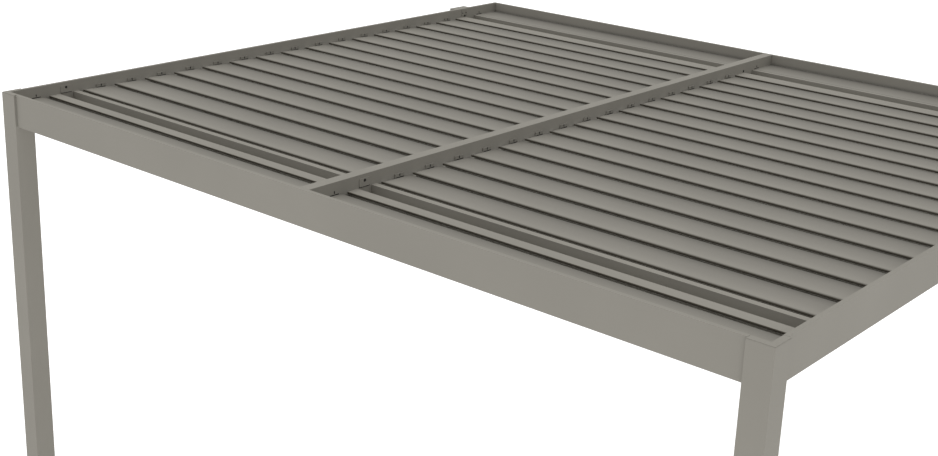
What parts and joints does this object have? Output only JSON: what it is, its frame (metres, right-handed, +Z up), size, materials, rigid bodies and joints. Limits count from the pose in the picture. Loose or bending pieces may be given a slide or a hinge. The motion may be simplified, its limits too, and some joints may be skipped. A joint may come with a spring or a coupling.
{
  "type": "wall-mounted louvred pergola",
  "caption": "Wall-mounted aluminium pergola: front posts, gutter beams and a flat roof of turning louvres either side of a middle beam.",
  "frame": {"origin": "centre of the back beam's wall face", "axes": "+X to the right along the wall as seen from the garden, +Y into the wall, +Z up"},
  "size_m": [4.571, 4.035, 2.5],
  "materials": {
    "frame_paint": "matt warm grey powder coat",
    "louvre_paint": "matt warm grey powder coat",
    "bracket_metal": "matt grey powder coat",
    "foot_metal": "matt warm grey powder coat",
    "pivot_plastic": "grey moulded"
  },
  "bodies": {
    "frame": {"front_beam": "frame_paint", "back_beam": "frame_paint", "left_beam": "frame_paint", "right_beam": "frame_paint", "centre_beam": "frame_paint", "left_post": "frame_paint", "right_post": "frame_paint", "post_caps": "frame_paint", "foot_plates": "foot_metal", "front_covers": "frame_paint", "front_channels": "frame_paint", "back_channels": "frame_paint", "back_covers": "frame_paint", "pivot_blocks": "pivot_plastic", "side_bracket": "bracket_metal"},
    "left_louvre_01": {"left_louvre_01": "louvre_paint"},
    "left_louvre_02": {"left_louvre_02": "louvre_paint"},
    "left_louvre_03": {"left_louvre_03": "louvre_paint"},
    "left_louvre_04": {"left_louvre_04": "louvre_paint"},
    "left_louvre_05": {"left_louvre_05": "louvre_paint"},
    "left_louvre_06": {"left_louvre_06": "louvre_paint"},
    "left_louvre_07": {"left_louvre_07": "louvre_paint"},
    "left_louvre_08": {"left_louvre_08": "louvre_paint"},
    "left_louvre_09": {"left_louvre_09": "louvre_paint"},
    "left_louvre_10": {"left_louvre_10": "louvre_paint"},
    "left_louvre_11": {"left_louvre_11": "louvre_paint"},
    "left_louvre_12": {"left_louvre_12": "louvre_paint"},
    "left_louvre_13": {"left_louvre_13": "louvre_paint"},
    "left_louvre_14": {"left_louvre_14": "louvre_paint"},
    "left_louvre_15": {"left_louvre_15": "louvre_paint"},
    "right_louvre_01": {"right_louvre_01": "louvre_paint"},
    "right_louvre_02": {"right_louvre_02": "louvre_paint"},
    "right_louvre_03": {"right_louvre_03": "louvre_paint"},
    "right_louvre_04": {"right_louvre_04": "louvre_paint"},
    "right_louvre_05": {"right_louvre_05": "louvre_paint"},
    "right_louvre_06": {"right_louvre_06": "louvre_paint"},
    "right_louvre_07": {"right_louvre_07": "louvre_paint"},
    "right_louvre_08": {"right_louvre_08": "louvre_paint"},
    "right_louvre_09": {"right_louvre_09": "louvre_paint"},
    "right_louvre_10": {"right_louvre_10": "louvre_paint"},
    "right_louvre_11": {"right_louvre_11": "louvre_paint"},
    "right_louvre_12": {"right_louvre_12": "louvre_paint"},
    "right_louvre_13": {"right_louvre_13": "louvre_paint"},
    "right_louvre_14": {"right_louvre_14": "louvre_paint"},
    "right_louvre_15": {"right_louvre_15": "louvre_paint"}
  },
  "joints": [
    {"name": "left_tilt_01", "type": "hinge", "parent": "frame", "child": "left_louvre_01", "pos_m": [-1.123, -3.417, 0.013], "axis": [-1, 0, 0], "range_deg": [0, 90]},
    {"name": "left_tilt_02", "type": "hinge", "parent": "frame", "child": "left_louvre_02", "pos_m": [-1.123, -3.212, 0.013], "axis": [-1, 0, 0], "range_deg": [0, 90]},
    {"name": "left_tilt_03", "type": "hinge", "parent": "frame", "child": "left_louvre_03", "pos_m": [-1.123, -3.007, 0.013], "axis": [-1, 0, 0], "range_deg": [0, 90]},
    {"name": "left_tilt_04", "type": "hinge", "parent": "frame", "child": "left_louvre_04", "pos_m": [-1.123, -2.802, 0.013], "axis": [-1, 0, 0], "range_deg": [0, 90]},
    {"name": "left_tilt_05", "type": "hinge", "parent": "frame", "child": "left_louvre_05", "pos_m": [-1.123, -2.597, 0.013], "axis": [-1, 0, 0], "range_deg": [0, 90]},
    {"name": "left_tilt_06", "type": "hinge", "parent": "frame", "child": "left_louvre_06", "pos_m": [-1.123, -2.392, 0.013], "axis": [-1, 0, 0], "range_deg": [0, 90]},
    {"name": "left_tilt_07", "type": "hinge", "parent": "frame", "child": "left_louvre_07", "pos_m": [-1.123, -2.187, 0.013], "axis": [-1, 0, 0], "range_deg": [0, 90]},
    {"name": "left_tilt_08", "type": "hinge", "parent": "frame", "child": "left_louvre_08", "pos_m": [-1.123, -1.982, 0.013], "axis": [-1, 0, 0], "range_deg": [0, 90]},
    {"name": "left_tilt_09", "type": "hinge", "parent": "frame", "child": "left_louvre_09", "pos_m": [-1.123, -1.777, 0.013], "axis": [-1, 0, 0], "range_deg": [0, 90]},
    {"name": "left_tilt_10", "type": "hinge", "parent": "frame", "child": "left_louvre_10", "pos_m": [-1.123, -1.572, 0.013], "axis": [-1, 0, 0], "range_deg": [0, 90]},
    {"name": "left_tilt_11", "type": "hinge", "parent": "frame", "child": "left_louvre_11", "pos_m": [-1.123, -1.367, 0.013], "axis": [-1, 0, 0], "range_deg": [0, 90]},
    {"name": "left_tilt_12", "type": "hinge", "parent": "frame", "child": "left_louvre_12", "pos_m": [-1.123, -1.162, 0.013], "axis": [-1, 0, 0], "range_deg": [0, 90]},
    {"name": "left_tilt_13", "type": "hinge", "parent": "frame", "child": "left_louvre_13", "pos_m": [-1.123, -0.957, 0.013], "axis": [-1, 0, 0], "range_deg": [0, 90]},
    {"name": "left_tilt_14", "type": "hinge", "parent": "frame", "child": "left_louvre_14", "pos_m": [-1.123, -0.752, 0.013], "axis": [-1, 0, 0], "range_deg": [0, 90]},
    {"name": "left_tilt_15", "type": "hinge", "parent": "frame", "child": "left_louvre_15", "pos_m": [-1.123, -0.547, 0.013], "axis": [-1, 0, 0], "range_deg": [0, 90]},
    {"name": "right_tilt_01", "type": "hinge", "parent": "frame", "child": "right_louvre_01", "pos_m": [1.123, -3.417, 0.013], "axis": [-1, 0, 0], "range_deg": [0, 90]},
    {"name": "right_tilt_02", "type": "hinge", "parent": "frame", "child": "right_louvre_02", "pos_m": [1.123, -3.212, 0.013], "axis": [-1, 0, 0], "range_deg": [0, 90]},
    {"name": "right_tilt_03", "type": "hinge", "parent": "frame", "child": "right_louvre_03", "pos_m": [1.123, -3.007, 0.013], "axis": [-1, 0, 0], "range_deg": [0, 90]},
    {"name": "right_tilt_04", "type": "hinge", "parent": "frame", "child": "right_louvre_04", "pos_m": [1.123, -2.802, 0.013], "axis": [-1, 0, 0], "range_deg": [0, 90]},
    {"name": "right_tilt_05", "type": "hinge", "parent": "frame", "child": "right_louvre_05", "pos_m": [1.123, -2.597, 0.013], "axis": [-1, 0, 0], "range_deg": [0, 90]},
    {"name": "right_tilt_06", "type": "hinge", "parent": "frame", "child": "right_louvre_06", "pos_m": [1.123, -2.392, 0.013], "axis": [-1, 0, 0], "range_deg": [0, 90]},
    {"name": "right_tilt_07", "type": "hinge", "parent": "frame", "child": "right_louvre_07", "pos_m": [1.123, -2.187, 0.013], "axis": [-1, 0, 0], "range_deg": [0, 90]},
    {"name": "right_tilt_08", "type": "hinge", "parent": "frame", "child": "right_louvre_08", "pos_m": [1.123, -1.982, 0.013], "axis": [-1, 0, 0], "range_deg": [0, 90]},
    {"name": "right_tilt_09", "type": "hinge", "parent": "frame", "child": "right_louvre_09", "pos_m": [1.123, -1.777, 0.013], "axis": [-1, 0, 0], "range_deg": [0, 90]},
    {"name": "right_tilt_10", "type": "hinge", "parent": "frame", "child": "right_louvre_10", "pos_m": [1.123, -1.572, 0.013], "axis": [-1, 0, 0], "range_deg": [0, 90]},
    {"name": "right_tilt_11", "type": "hinge", "parent": "frame", "child": "right_louvre_11", "pos_m": [1.123, -1.367, 0.013], "axis": [-1, 0, 0], "range_deg": [0, 90]},
    {"name": "right_tilt_12", "type": "hinge", "parent": "frame", "child": "right_louvre_12", "pos_m": [1.123, -1.162, 0.013], "axis": [-1, 0, 0], "range_deg": [0, 90]},
    {"name": "right_tilt_13", "type": "hinge", "parent": "frame", "child": "right_louvre_13", "pos_m": [1.123, -0.957, 0.013], "axis": [-1, 0, 0], "range_deg": [0, 90]},
    {"name": "right_tilt_14", "type": "hinge", "parent": "frame", "child": "right_louvre_14", "pos_m": [1.123, -0.752, 0.013], "axis": [-1, 0, 0], "range_deg": [0, 90]},
    {"name": "right_tilt_15", "type": "hinge", "parent": "frame", "child": "right_louvre_15", "pos_m": [1.123, -0.547, 0.013], "axis": [-1, 0, 0], "range_deg": [0, 90]}
  ],
  "couplings": [
    {"joint": "left_tilt_01", "follows": "left_tilt_08", "ratio": 1},
    {"joint": "left_tilt_02", "follows": "left_tilt_08", "ratio": 1},
    {"joint": "left_tilt_03", "follows": "left_tilt_08", "ratio": 1},
    {"joint": "left_tilt_04", "follows": "left_tilt_08", "ratio": 1},
    {"joint": "left_tilt_05", "follows": "left_tilt_08", "ratio": 1},
    {"joint": "left_tilt_06", "follows": "left_tilt_08", "ratio": 1},
    {"joint": "left_tilt_07", "follows": "left_tilt_08", "ratio": 1},
    {"joint": "left_tilt_09", "follows": "left_tilt_08", "ratio": 1},
    {"joint": "left_tilt_10", "follows": "left_tilt_08", "ratio": 1},
    {"joint": "left_tilt_11", "follows": "left_tilt_08", "ratio": 1},
    {"joint": "left_tilt_12", "follows": "left_tilt_08", "ratio": 1},
    {"joint": "left_tilt_13", "follows": "left_tilt_08", "ratio": 1},
    {"joint": "left_tilt_14", "follows": "left_tilt_08", "ratio": 1},
    {"joint": "left_tilt_15", "follows": "left_tilt_08", "ratio": 1},
    {"joint": "right_tilt_01", "follows": "right_tilt_08", "ratio": 1},
    {"joint": "right_tilt_02", "follows": "right_tilt_08", "ratio": 1},
    {"joint": "right_tilt_03", "follows": "right_tilt_08", "ratio": 1},
    {"joint": "right_tilt_04", "follows": "right_tilt_08", "ratio": 1},
    {"joint": "right_tilt_05", "follows": "right_tilt_08", "ratio": 1},
    {"joint": "right_tilt_06", "follows": "right_tilt_08", "ratio": 1},
    {"joint": "right_tilt_07", "follows": "right_tilt_08", "ratio": 1},
    {"joint": "right_tilt_09", "follows": "right_tilt_08", "ratio": 1},
    {"joint": "right_tilt_10", "follows": "right_tilt_08", "ratio": 1},
    {"joint": "right_tilt_11", "follows": "right_tilt_08", "ratio": 1},
    {"joint": "right_tilt_12", "follows": "right_tilt_08", "ratio": 1},
    {"joint": "right_tilt_13", "follows": "right_tilt_08", "ratio": 1},
    {"joint": "right_tilt_14", "follows": "right_tilt_08", "ratio": 1},
    {"joint": "right_tilt_15", "follows": "right_tilt_08", "ratio": 1}
  ]
}
